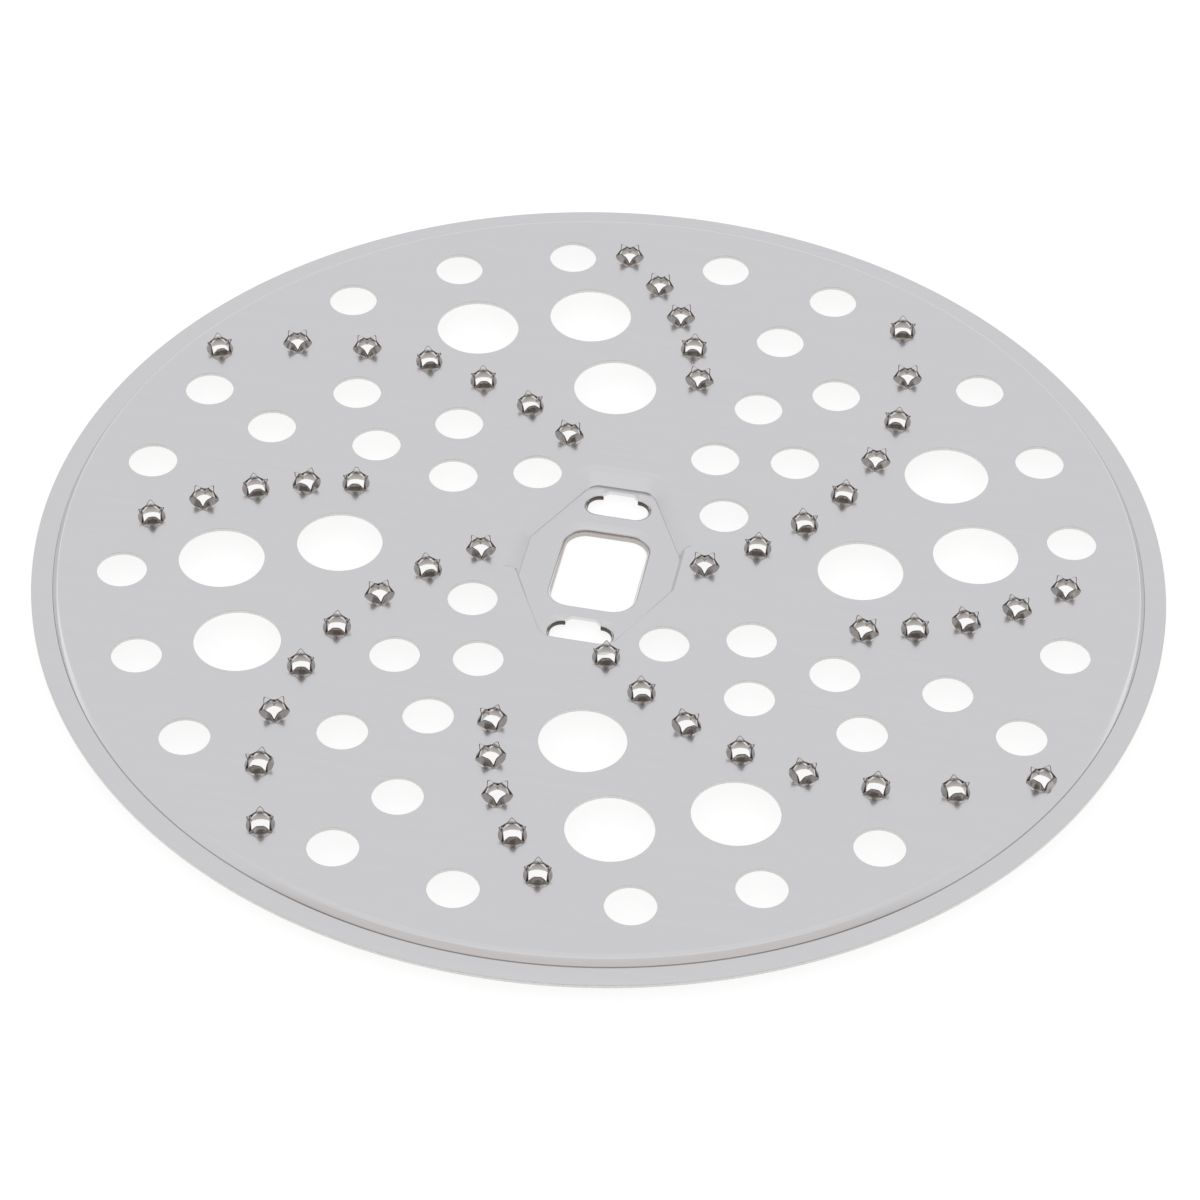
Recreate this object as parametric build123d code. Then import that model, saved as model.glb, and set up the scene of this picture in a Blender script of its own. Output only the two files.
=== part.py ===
from build123d import *
import os
from math import acos, cos, degrees, hypot, radians, sin, tan

# Grating disc of a food processor, stamped from one round of stainless sheet.
# Millimetres. Z is the drive axis, Y runs along the hub pocket, and Z = 0 is the
# lower edge of the drive collar, on which the disc stands.

# Sheet and rim
SHEET = 0.5              # sheet thickness
DISC_DIAMETER = 148.0    # over the outer flange
FLANGE_WIDTH = 3.3       # flat flange outside the step
STEP_HEIGHT = 1.25       # plate above the flange
STEP_SLOPE = 54.0        # degrees from the horizontal
STEP_LIP_BEND = 1.2      # bend radius on the upper side, where the plate turns down
STEP_FOOT_BEND = 0.3     # bend radius on the upper side, where the flange begins

# Hub pocket, pressed down into the plate
POCKET_LENGTH = 31.0     # along Y, at the pocket floor
POCKET_WIDTH = 20.1      # along X, at the pocket floor
POCKET_END_FLAT = 8.4    # straight end, along X
POCKET_SIDE_FLAT = 7.6   # straight side, along Y
POCKET_CORNER = 2.0      # corner radius of the outline
POCKET_DEPTH = 2.0       # plate top to floor top
POCKET_DRAFT = 10.0      # degrees from the vertical
POCKET_LIP = 0.7         # rounding where the plate turns down

# Drive opening with its collar
DRIVE_WIDTH = 10.9       # along X
DRIVE_LENGTH = 14.5      # along Y
DRIVE_CORNER = 2.7
DRIVE_EDGE = 0.45        # rolled upper edge
COLLAR_HEIGHT = 1.6      # floor top to the lower edge of the collar

# Two catch slots in the pocket floor
SLOT_CENTRE = 12.4       # from the axis, along Y
SLOT_WIDTH = 8.1         # along X
SLOT_LENGTH = 3.5        # along Y
SLOT_CORNER = 1.6
SLOT_WALL = 1.1          # floor top to the lower edge of the slot's wall
NOTCH_WIDTH = 3.9        # plain notch in the +Y side of each slot
NOTCH_DEPTH = 0.75

# Round holes: distance from the axis and angle, repeated in each quarter
LARGE_HOLE = 11.2
LARGE_HOLES = ((34.1, 8.0), (49.3, 13.0), (49.3, 31.5))
SMALL_HOLE = 6.5
SMALL_HOLES = ((18.4, 38.3), (24.9, 63.1), (32.3, 47.5), (36.9, 65.8), (46.1, 57.2), (50.7, 72.1))
RING_INSET = 11.8        # outermost ring of holes, in from the disc's edge
RING_ANGLES = (15.0, 30.0, 45.0, 70.0, 85.0)

# Pierced teeth: a square hole whose four petals are folded up and outwards
TOOTH_SIDES = 4
TOOTH_BORE = 2.4         # across the flats of the hole at the plate's top
TOOTH_HEIGHT = 1.45      # petal tips above the plate
TOOTH_LEAN = 80.0        # degrees from the horizontal
TOOTH_WALL = 0.33        # petal thickness at its root, along the plate
TOOTH_CLIP = 0.45        # cut off each side of the tooth's outer corners
TOOTH_ROOT = 0.3         # height at which neighbouring petals part
TOOTH_ROLL = 0.35        # widening of the hole on the underside
TOOTH_MARGIN = 0.15      # least room beside a tooth

# Tooth rows: each follows an arc that sweeps outwards, one row in each quarter.
# A row's first tooth lies further out than in the row before it by a quarter of
# the pitch, so that every tooth cuts a track of its own. The punches are not keyed,
# so each tooth has its own turn.
QUARTERS = 4
LONG_ARC_REACH = 41.2    # the arc's centre from the axis
LONG_ARC_BEARING = 107.1 # its angle
LONG_ARC_RADIUS = 46.3
LONG_START = 13.8
LONG_PITCH = 7.0
LONG_COUNT = 8
LONG_ORDER = (0, 2, 1, 3)
LONG_TURNS = (
    (10, 50, 65, 45, 5, 45, 10, 55),
    (55, 0, 70, 60, 65, 15, 15, 70),
    (15, 70, 20, 55, 60, 15, 45, 60),
    (55, 60, 80, 60, 80, 45, 65, 20),
)
SHORT_ARC_REACH = 47.0
SHORT_ARC_BEARING = 54.4
SHORT_ARC_RADIUS = 45.6
SHORT_START = 33.6
SHORT_PITCH = 6.05
SHORT_COUNT = 5
SHORT_ORDER = (2, 3, 1, 0)
SHORT_TURNS = (
    (85, 60, 80, 85, 5),
    (0, 50, 10, 5, 10),
    (55, 35, 70, 10, 65),
    (30, 25, 10, 60, 55),
)

# Levels and margins
CUT = 1.0                # how far a cutting tool reaches past the metal
NEAR = 0.01              # how close to a level an edge lies that is picked there
FLOOR_TOP = COLLAR_HEIGHT
PLATE_TOP = FLOOR_TOP + POCKET_DEPTH
FLANGE_TOP = PLATE_TOP - STEP_HEIGHT
STEP_FOOT = DISC_DIAMETER / 2 - FLANGE_WIDTH
STEP_LIP = STEP_FOOT - STEP_HEIGHT / tan(radians(STEP_SLOPE))
POCKET_SPREAD = POCKET_DEPTH * tan(radians(POCKET_DRAFT)) + POCKET_LIP
TOOTH_SLANT = 1 / tan(radians(TOOTH_LEAN))
TOOTH_FOOT = TOOTH_BORE / 2 + TOOTH_WALL
TOOTH_REACH = TOOTH_FOOT + TOOTH_HEIGHT * TOOTH_SLANT
HALF_SIDE = radians(180.0 / TOOTH_SIDES)
TOOTH_CORNER = TOOTH_FOOT / cos(HALF_SIDE) - TOOTH_CLIP * sin(HALF_SIDE)


def plate_round():
    """The round plate with its step and flange, turned from one profile."""
    upper = FilletPolyline(
        (0, PLATE_TOP),
        (STEP_LIP, PLATE_TOP),
        (STEP_FOOT, FLANGE_TOP),
        (DISC_DIAMETER / 2, FLANGE_TOP),
        radius=[STEP_LIP_BEND, STEP_FOOT_BEND],
    )
    section = make_face(offset(upper, amount=SHEET, side=Side.RIGHT))
    return revolve(Plane.XZ * section, Axis.Z)


def pocket_outline(grow):
    """The pocket's eight-sided outline, grown outwards by a given width."""
    half_length = POCKET_LENGTH / 2
    half_width = POCKET_WIDTH / 2
    half_end = POCKET_END_FLAT / 2
    half_side = POCKET_SIDE_FLAT / 2
    corners = [
        (half_width, half_side),
        (half_end, half_length),
        (-half_end, half_length),
        (-half_width, half_side),
        (-half_width, -half_side),
        (-half_end, -half_length),
        (half_end, -half_length),
        (half_width, -half_side),
    ]
    outline = make_face(Polyline(*corners, close=True))
    outline = fillet(outline.vertices(), POCKET_CORNER)
    return offset(outline, amount=grow) if grow else outline


def drive_outline(grow):
    """The drive opening, grown outwards by a given width."""
    return RectangleRounded(DRIVE_WIDTH + 2 * grow, DRIVE_LENGTH + 2 * grow, DRIVE_CORNER + grow)


def slot_outline(grow):
    """One catch slot about its own centre, grown outwards by a given width."""
    return RectangleRounded(SLOT_WIDTH + 2 * grow, SLOT_LENGTH + 2 * grow, SLOT_CORNER + grow)


def edges_at(solid, level):
    """The edges whose middle lies at a given level."""
    return solid.edges().filter_by_position(Axis.Z, level - NEAR, level + NEAR)


def pressed_hub(disc):
    """Press the pocket, its collar and its catch slots into the plate."""
    draft = -POCKET_DRAFT
    tray_height = POCKET_DEPTH
    tray = extrude(Pos(0, 0, FLOOR_TOP - SHEET) * pocket_outline(SHEET), tray_height, taper=draft)
    cavity = extrude(Pos(0, 0, FLOOR_TOP) * pocket_outline(0), POCKET_DEPTH + CUT, taper=draft)
    hub = disc + tray - cavity
    lip = edges_at(hub, PLATE_TOP)
    lip = [edge for edge in lip if edge.bounding_box().max.Y < POCKET_LENGTH]
    hub = fillet(lip, POCKET_LIP)

    hub += extrude(drive_outline(SHEET), COLLAR_HEIGHT)
    wall = Pos(0, 0, FLOOR_TOP - SLOT_WALL) * extrude(slot_outline(SHEET), SLOT_WALL)
    slots = [Pos(0, side * SLOT_CENTRE, 0) for side in (1, -1)]
    hub += [slot * wall for slot in slots]

    reach = PLATE_TOP + 2 * CUT
    hub -= Pos(0, 0, -CUT) * extrude(drive_outline(0), reach)
    rolled = edges_at(hub, FLOOR_TOP)
    rolled = [edge for edge in rolled if edge.bounding_box().max.Y < DRIVE_LENGTH / 2 + SHEET / 2]
    rolled = [edge for edge in rolled if edge.bounding_box().min.Y > -DRIVE_LENGTH / 2 - SHEET / 2]
    rolled = [edge for edge in rolled if abs(edge.center().X) < DRIVE_WIDTH / 2 + SHEET / 2]
    hub = fillet(rolled, DRIVE_EDGE)

    slot = extrude(slot_outline(0), reach)
    notch_length = SLOT_LENGTH / 2 + NOTCH_DEPTH
    notch = Pos(0, notch_length / 2, 0) * extrude(Rectangle(NOTCH_WIDTH, notch_length), reach)
    hub -= [place * Pos(0, 0, -CUT) * (slot + notch) for place in slots]
    return hub


def petal_outline(across, height, clip=0.0):
    """Corners of a tooth's outline, given its width from centre to side, its height and its clipped corners."""
    corner_reach = across / cos(HALF_SIDE) - clip * sin(HALF_SIDE)
    half_clip = clip * cos(HALF_SIDE)
    asides = (-half_clip, half_clip) if clip else (0.0,)
    outline = []
    for corner in range(TOOTH_SIDES):
        turn = 2 * HALF_SIDE * corner
        for aside in asides:
            x = corner_reach * cos(turn) - aside * sin(turn)
            y = corner_reach * sin(turn) + aside * cos(turn)
            outline.append(Vector(x, y, height))
    return outline


def frustum(lower, upper):
    """A flat-sided solid between two outlines with the same number of corners."""
    faces = [Face(Wire.make_polygon(lower)), Face(Wire.make_polygon(upper))]
    for corner in range(len(lower)):
        side = [lower[corner - 1], lower[corner], upper[corner], upper[corner - 1]]
        faces.append(Face(Wire.make_polygon(side)))
    return Solid(Shell(faces))


def tooth_crown():
    """The raised petals of one tooth before its hole is cut, Z = 0 on the plate's top."""
    sunk = SHEET / 2
    top = TOOTH_HEIGHT + CUT
    lower = petal_outline(TOOTH_FOOT - sunk * TOOTH_SLANT, -sunk, TOOTH_CLIP)
    upper = petal_outline(TOOTH_FOOT + top * TOOTH_SLANT, top, TOOTH_CLIP)
    crown = frustum(lower, upper)

    tip_reach = TOOTH_REACH * sin(HALF_SIDE)
    opening = tip_reach * (top + CUT - TOOTH_ROOT) / (TOOTH_HEIGHT - TOOTH_ROOT)
    gap = make_face(Polyline((0, TOOTH_ROOT), (opening, top + CUT), (-opening, top + CUT), close=True))
    notch = extrude(Plane.YZ * gap, 2 * (TOOTH_FOOT + top))
    for corner in range(TOOTH_SIDES):
        crown -= Rot(0, 0, 360.0 / TOOTH_SIDES * corner) * notch
    return crown


def tooth_bore():
    """The hole through one tooth, narrowest at the plate's top."""
    neck = TOOTH_BORE / 2
    top = TOOTH_HEIGHT + CUT
    bottom = SHEET + CUT
    above = frustum(petal_outline(neck, 0), petal_outline(neck + top * TOOTH_SLANT, top))
    below = frustum(petal_outline(neck + bottom * TOOTH_ROLL / SHEET, -bottom), petal_outline(neck, 0))
    return above + below


def round_holes():
    """Diameter and centre of every round hole."""
    ring = [(DISC_DIAMETER / 2 - RING_INSET, angle) for angle in RING_ANGLES]
    sizes = [(LARGE_HOLE, place) for place in LARGE_HOLES]
    sizes += [(SMALL_HOLE, place) for place in (*SMALL_HOLES, *ring)]
    holes = []
    for quarter in range(QUARTERS):
        for diameter, (radius, angle) in sizes:
            turn = radians(360.0 / QUARTERS * quarter + angle)
            holes.append((diameter, radius * cos(turn), radius * sin(turn)))
    return holes


def has_room(x, y, neighbours):
    """True where a tooth's foot stands on flat plate and its petals clear the holes and other teeth."""
    foot = TOOTH_FOOT + TOOTH_MARGIN
    petals = max(TOOTH_REACH, TOOTH_CORNER) + TOOTH_MARGIN
    beside = abs(x) > POCKET_WIDTH / 2 + POCKET_SPREAD + foot
    beyond = abs(y) > POCKET_LENGTH / 2 + POCKET_SPREAD + foot
    on_plate = hypot(x, y) < STEP_LIP - foot
    off_holes = all(hypot(x - p, y - q) > diameter / 2 + petals for diameter, p, q in round_holes())
    off_teeth = all(hypot(x - p, y - q) > 2 * petals for p, q in neighbours)
    return (beside or beyond) and on_plate and off_holes and off_teeth


def row_places(reach, bearing, arc_radius, start, pitch, count, order):
    """Centres of the teeth of one row in every quarter, along its arc."""
    places = []
    for quarter in range(QUARTERS):
        first = start + order[quarter] * pitch / QUARTERS
        for index in range(count):
            radius = first + index * pitch
            spread = (radius**2 + reach**2 - arc_radius**2) / (2 * radius * reach)
            angle = radians(360.0 / QUARTERS * quarter + bearing - degrees(acos(spread)))
            places.append((radius * cos(angle), radius * sin(angle)))
    return places


def row_turns(turns, count):
    """Turns of the teeth of one row in every quarter, given those of each quarter's row."""
    return [row[index % len(row)] for row in turns for index in range(count)]


def tooth_locations():
    """Place and turn of every tooth on the plate."""
    long_arc = (LONG_ARC_REACH, LONG_ARC_BEARING, LONG_ARC_RADIUS)
    short_arc = (SHORT_ARC_REACH, SHORT_ARC_BEARING, SHORT_ARC_RADIUS)
    places = row_places(*long_arc, LONG_START, LONG_PITCH, LONG_COUNT, LONG_ORDER)
    places += row_places(*short_arc, SHORT_START, SHORT_PITCH, SHORT_COUNT, SHORT_ORDER)
    turns = row_turns(LONG_TURNS, LONG_COUNT) + row_turns(SHORT_TURNS, SHORT_COUNT)
    return [
        Pos(x, y, PLATE_TOP) * Rot(0, 0, turns[index])
        for index, (x, y) in enumerate(places)
        if has_room(x, y, places[:index])
    ]


def hole_cutters():
    """Cylinders for all the round holes."""
    return [
        Pos(x, y, PLATE_TOP - SHEET / 2) * Cylinder(diameter / 2, SHEET + 2 * CUT)
        for diameter, x, y in round_holes()
    ]


def grating_disc():
    """The whole disc as one solid."""
    disc = pressed_hub(plate_round())
    teeth = tooth_locations()
    crown = tooth_crown()
    bore = tooth_bore()
    disc += [place * crown for place in teeth]
    disc -= [place * bore for place in teeth] + hole_cutters()
    return disc


os.makedirs("parts", exist_ok=True)
disc = grating_disc()
export_step(disc, "parts/grating_disc.step")
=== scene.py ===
"""Looks of a food processor's grating disc: one round of stainless sheet, stamped, pierced and pressed.

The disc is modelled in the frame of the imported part, in millimetres and degrees, and brought to metres at the
end. Z is the drive axis, Y runs along the hub pocket, and Z = 0 is the floor that the disc stands on.
"""

import logging
from bisect import bisect_left
from collections.abc import Iterable, Sequence
from dataclasses import dataclass, field
from enum import Enum
from itertools import accumulate
from math import acos, atan2, cos, degrees, hypot, pi, radians, sin, tan
from random import Random

import bmesh
import bpy
from mathutils import Matrix, Quaternion, Vector


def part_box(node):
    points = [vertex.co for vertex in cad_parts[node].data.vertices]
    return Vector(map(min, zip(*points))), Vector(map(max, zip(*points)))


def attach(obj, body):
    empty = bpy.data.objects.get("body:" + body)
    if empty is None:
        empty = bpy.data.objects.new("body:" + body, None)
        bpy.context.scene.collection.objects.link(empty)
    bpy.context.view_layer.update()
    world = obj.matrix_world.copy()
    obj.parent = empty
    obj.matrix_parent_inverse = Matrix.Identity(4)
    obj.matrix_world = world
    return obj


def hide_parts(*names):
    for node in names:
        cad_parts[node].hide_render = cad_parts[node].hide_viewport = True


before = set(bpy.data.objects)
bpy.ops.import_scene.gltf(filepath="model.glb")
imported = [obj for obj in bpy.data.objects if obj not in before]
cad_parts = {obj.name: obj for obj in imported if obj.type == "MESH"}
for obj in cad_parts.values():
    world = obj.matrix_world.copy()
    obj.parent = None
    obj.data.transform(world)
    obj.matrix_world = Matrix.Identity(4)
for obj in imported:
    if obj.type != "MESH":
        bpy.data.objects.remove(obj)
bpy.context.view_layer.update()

log = logging.getLogger("grating_disc")

MM = 0.001
NODE = "grating_disc"

Point = tuple[float, float]
Span = tuple[float, float]
Triple = tuple[float, float, float]
Color = tuple[float, float, float, float]
Line = list[Vector]
Lines = list[Line]
Ring = list[bmesh.types.BMVert]
Rings = list[Ring]


class Face(Enum):
    """Kinds of face on the sheet, by their material slot."""

    ROLLED = 0
    CUT = 1
    # Painted shade: near-black torn edges of the teeth and walls of the catch slots.
    TORN = 2
    # Painted shade: the drive opening's wall is darker than the sheet.
    DRAWN = 3
    # Painted shade: the bore darkens towards its top.
    BORE = 4
    PRESSED = 5
    # Painted shade: the outer sides of the bent ears are darker than the sheet.
    EAR = 6
    # Painted shade: a dark line at the rim step's crease and on the drive opening's rolled edge.
    CREASE = 7


Tube = tuple[Sequence[Sequence[Vector]], Sequence[Face]]


def bands(*runs: tuple[Face, int]) -> list[Face]:
    """Kinds of the bands of faces along a tube.

    Args:
        runs: Each kind in turn, with the number of bands it covers.

    Returns:
        One kind for each band.
    """
    return [kind for kind, count in runs for _ in range(count)]


def across(columns: Sequence[Line]) -> Lines:
    """The rings that run across upright columns of points."""
    return [list(ring) for ring in zip(*columns)]


def eased(low: float, high: float, share: float) -> float:
    """A value that goes smoothly from one to another.

    Args:
        low: The value at a share of 0 or less.
        high: The value at a share of 1 or more.
        share: How far the change has gone.

    Returns:
        The value.
    """
    share = min(max(share, 0.0), 1.0)
    return low + (high - low) * share**2 * (3 - 2 * share)


def corner_arc(
    before: Vector, here: Vector, after: Vector, radius: float, steps: int
) -> tuple[Vector, list[Vector]]:
    """Round one corner of a line.

    Args:
        before: The point before the corner.
        here: The corner.
        after: The point after the corner.
        radius: Radius of the arc.
        steps: Chords in the arc.

    Returns:
        The arc's centre, and the directions from there to its points.
    """
    back = (before - here).normalized()
    ahead = (after - here).normalized()
    half = back.angle(ahead) / 2
    centre = here + (back + ahead).normalized() * radius / sin(half)
    start = here + back * radius / tan(half) - centre
    stop = here + ahead * radius / tan(half) - centre
    return centre, [start.slerp(stop, step / steps) for step in range(steps + 1)]


def rounded_line(corners: Sequence[Point], radii: Sequence[float], steps: int = 6) -> Line:
    """Round the inner corners of an open line.

    Args:
        corners: The line's points, from end to end.
        radii: One radius for each inner corner.
        steps: Chords in each rounded corner.

    Returns:
        The points of the rounded line.
    """
    spots = [Vector(corner) for corner in corners]
    line = [spots[0]]
    for before, here, after, radius in zip(spots, spots[1:], spots[2:], radii):
        centre, turns = corner_arc(before, here, after, radius, steps)
        line += [centre + turn * radius for turn in turns]
    return [*line, spots[-1]]


@dataclass
class CircleOutline:
    """A round outline.

    Args:
        centre: Its middle.
        radius: Its radius.
        segments: Chords around it.
    """

    centre: Point
    radius: float
    segments: int

    def ring(self, grow: float, height: float) -> Line:
        """Points of the outline.

        Args:
            grow: How far to grow it outwards.
            height: Level of the points.

        Returns:
            The points in order.
        """
        turns = [radians(360.0 / self.segments * index) for index in range(self.segments)]
        reach = self.radius + grow
        return [
            Vector((self.centre[0] + reach * cos(turn), self.centre[1] + reach * sin(turn), height))
            for turn in turns
        ]


@dataclass
class RoundedOutline:
    """A convex outline with straight sides and rounded corners, anticlockwise.

    Args:
        corners: Its corners before rounding.
        radius: Radius of every corner.
        steps: Chords in each corner.
        parts: Parts of each straight side.
    """

    corners: Sequence[Point]
    radius: float
    steps: int = 8
    parts: int = 1

    def ring(self, grow: float, height: float) -> Line:
        """Points of the outline.

        Args:
            grow: How far to grow it outwards.
            height: Level of the points.

        Returns:
            The points in order.
        """
        arcs = []
        corners = [Vector(corner) for corner in self.corners]
        for before, here, after in zip(corners[-1:] + corners[:-1], corners, corners[1:] + corners[:1]):
            centre, turns = corner_arc(before, here, after, self.radius, self.steps)
            arcs.append([centre + turn * (self.radius + grow) for turn in turns])
        points = []
        for arc, after in zip(arcs, arcs[1:] + arcs[:1]):
            points += arc
            points += [arc[-1].lerp(after[0], part / self.parts) for part in range(1, self.parts)]
        return [Vector((*spot, height)) for spot in points]


def rectangle(width: float, length: float, middle: float = 0.0) -> list[Point]:
    """Corners of a rectangle on the Y axis.

    Args:
        width: Its size along X.
        length: Its size along Y.
        middle: Its centre along Y.

    Returns:
        The corners, anticlockwise.
    """
    x, y = width / 2, length / 2
    return [(x, middle - y), (x, middle + y), (-x, middle + y), (-x, middle - y)]


class SheetMesh:
    """A closed sheet that grows ring by ring in a bmesh, in millimetres.

    WELD is the distance within which points are joined, and CRISP the bend from which an edge is sharp.
    """

    WELD = 1e-4
    CRISP = radians(32.0)

    def __init__(self) -> None:
        """Start with nothing."""
        self.mesh = bmesh.new()

    def edges_of(self, ring: Ring) -> list[bmesh.types.BMEdge]:
        """The edges of a closed ring."""
        return [self.mesh.edges.get(pair) for pair in zip(ring, ring[1:] + ring[:1])]

    def sleeve(self, rings: Sequence[Sequence[Vector]], kinds: Sequence[Face]) -> tuple[Ring, Ring]:
        """Wrap a grid into a tube through rings of points.

        Args:
            rings: Points of each ring, from end to end.
            kinds: Kind of the faces between each pair of rings.

        Returns:
            The first and the last ring.
        """
        around, along = len(rings[0]), len(rings) - 1
        made = bmesh.ops.create_grid(self.mesh, x_segments=around, y_segments=along, size=1.0)["verts"]
        rows = [made[row * (around + 1) : (row + 1) * (around + 1)] for row in range(along + 1)]
        for row, points in zip(rows, rings):
            for vert, point in zip(row, [*points, points[0]]):
                vert.co = point
        for row, above, kind in zip(rows, rows[1:], kinds):
            for vert, opposite in zip(row, above[1:]):
                face = next(face for face in vert.link_faces if opposite in face.verts)
                face.smooth = True
                face.material_index = kind.value
        bmesh.ops.weld_verts(self.mesh, targetmap={row[-1]: row[0] for row in rows})
        return rows[0][:-1], rows[-1][:-1]

    def sleeves(self, tubes: Iterable[Tube]) -> tuple[Rings, Rings]:
        """Wrap several tubes.

        Args:
            tubes: The rings of points and the kinds of faces of each tube.

        Returns:
            The first rings and the last rings of the tubes.
        """
        ends = [self.sleeve(rings, kinds) for rings, kinds in tubes]
        return [first for first, _ in ends], [last for _, last in ends]

    def fill(self, rings: Iterable[Ring]) -> None:
        """Close the flat sheet between rings that lie at one level.

        Args:
            rings: The rings around it and in it.
        """
        edges = [edge for ring in rings for edge in self.edges_of(ring)]
        bmesh.ops.triangle_fill(
            self.mesh, use_beauty=True, use_dissolve=False, edges=edges, normal=Vector((0.0, 0.0, 1.0))
        )

    def finish(self, name: str) -> bpy.types.Object:
        """Close the seams, turn the faces outwards and make the object, in metres.

        Args:
            name: Name of the object.

        Returns:
            The object, linked to the scene.
        """
        bmesh.ops.remove_doubles(self.mesh, verts=self.mesh.verts, dist=self.WELD)
        bmesh.ops.dissolve_degenerate(self.mesh, edges=self.mesh.edges, dist=self.WELD)
        bmesh.ops.recalc_face_normals(self.mesh, faces=self.mesh.faces)
        for edge in self.mesh.edges:
            edge.smooth = edge.calc_face_angle(0.0) < self.CRISP
        open_edges = sum(not edge.is_manifold for edge in self.mesh.edges)
        log.info("%s: %d faces, %d open edges", name, len(self.mesh.faces), open_edges)
        bmesh.ops.scale(self.mesh, vec=Vector((MM, MM, MM)), verts=self.mesh.verts)
        data = bpy.data.meshes.new(name)
        self.mesh.to_mesh(data)
        self.mesh.free()
        piece = bpy.data.objects.new(name, data)
        bpy.context.scene.collection.objects.link(piece)
        return piece


@dataclass(frozen=True)
class SheetLevels:
    """Thickness and levels of the sheet.

    Args:
        thickness: Of the sheet.
        floor_top: Upper side of the hub pocket's floor.
        plate_top: Upper side of the plate.
        flange_top: Upper side of the outer flange.
    """

    thickness: float = 0.5
    floor_top: float = 1.6
    plate_top: float = 3.6
    flange_top: float = 2.35

    @property
    def plate_bottom(self) -> float:
        """Lower side of the plate."""
        return self.plate_top - self.thickness

    @property
    def floor_bottom(self) -> float:
        """Lower side of the pocket's floor."""
        return self.floor_top - self.thickness

    @property
    def flange_bottom(self) -> float:
        """Lower side of the flange."""
        return self.flange_top - self.thickness


@dataclass
class SteppedRim:
    """The step at the plate's edge and the flat flange outside it.

    Args:
        levels: Levels of the sheet.
        radius: Outer radius of the flange.
        flange_width: From the step's foot to the outer edge.
        slope: Angle of the step.
        crease: Height of the steeper foot of the step.
        crease_slope: Angle of that foot.
        lip_bend: Radius between the plate and the step.
        tight_bend: The same beside a tooth that stands at the lip.
        tight_bearings: Bearings of such teeth.
        tight_reach: Degrees to each side of such a tooth that are tightest.
        tight_fade: Degrees over which the lip then opens to its full radius.
        foot_bend: Radius between the step and its crease.
        edge_roll: Radius of the outer edge's corners.
        least_bend: Smallest radius of the lip's lower side.
        flat: Flat plate beside the lip.
        segments: Chords around the rim.
        bend_steps: Chords in each bend.
    """

    levels: SheetLevels
    radius: float
    flange_width: float = 2.75
    slope: float = 54.0
    crease: float = 0.17
    crease_slope: float = 58.0
    lip_bend: float = 0.8
    tight_bend: float = 0.35
    tight_bearings: Sequence[float] = ()
    tight_reach: float = 2.2
    tight_fade: float = 4.0
    foot_bend: float = 0.08
    edge_roll: float = 0.08
    least_bend: float = 0.03
    flat: float = 0.02
    segments: int = 360
    bend_steps: int = 4

    @property
    def step(self) -> float:
        """Radius at which the even slope ends above its crease."""
        return self.radius - self.flange_width - self.crease / tan(radians(self.crease_slope))

    @property
    def lip(self) -> float:
        """Radius at which the plate would meet the step without a bend."""
        rise = self.levels.plate_top - self.levels.flange_top - self.crease
        return self.step - rise / tan(radians(self.slope))

    @property
    def tight_radius(self) -> float:
        """Radius of the flat plate where the lip is tightest, on both of its sides."""
        return self.lip - self.levels.thickness * tan(radians(self.slope / 2)) - 2 * self.flat

    def bend(self, bearing: float) -> float:
        """Radius of the lip, which is tighter beside a tooth that stands at it.

        Args:
            bearing: Where on the rim.

        Returns:
            The radius.
        """
        apart = [abs((bearing - other + 180) % 360 - 180) for other in self.tight_bearings]
        share = min([(gap - self.tight_reach) / self.tight_fade for gap in apart] + [1.0])
        return eased(self.tight_bend, self.lip_bend, share)

    def section(self, bend: float) -> Line:
        """Section of the rim, from the plate's upper side round to its lower side.

        Args:
            bend: Radius of the lip.

        Returns:
            Points of distance from the axis and height.
        """
        levels = self.levels
        half = tan(radians(self.slope / 2))
        foot, lip = self.radius - self.flange_width, self.lip
        shift = levels.thickness * half
        under = max(bend - levels.thickness, self.least_bend)
        corners = [
            (lip - bend * half - self.flat, levels.plate_top),
            (lip, levels.plate_top),
            (self.step, levels.flange_top + self.crease),
            (foot, levels.flange_top),
            (self.radius, levels.flange_top),
            (self.radius, levels.flange_bottom),
            (foot - shift, levels.flange_bottom),
            (lip - shift, levels.plate_bottom),
            (lip - shift - under * half - self.flat, levels.plate_bottom),
        ]
        lower_foot = self.foot_bend + levels.thickness
        bends = [bend, self.foot_bend, self.foot_bend / 2, self.edge_roll, self.edge_roll, lower_foot, under]
        return rounded_line(corners, bends, self.bend_steps)

    def kinds(self) -> list[Face]:
        """Kinds of the faces along the section.

        The crease is its own band with one chord of the bend at each end of it, and it is painted as a dark
        shade line.

        Returns:
            One kind for each band.
        """
        bend = self.bend_steps
        slope, crease, flange, edge, underside = 2 * bend + 1, 3, bend, 2 * bend + 1, 2 * bend + 3
        return bands(
            (Face.PRESSED, slope),
            (Face.CREASE, crease),
            (Face.PRESSED, flange),
            (Face.CUT, edge),
            (Face.PRESSED, underside),
        )

    def add(self, sheet: SheetMesh) -> tuple[Rings, Rings]:
        """Grow the rim.

        Args:
            sheet: The sheet to grow it in.

        Returns:
            Its rings on the plate's upper and lower side.
        """
        columns = []
        for index in range(self.segments):
            bearing = 360.0 / self.segments * index
            turn = Matrix.Rotation(radians(bearing), 3, "Z")
            section = self.section(self.bend(bearing))
            columns.append([turn @ Vector((reach, 0.0, height)) for reach, height in section])
        return sheet.sleeves([(across(columns), self.kinds())])


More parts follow.
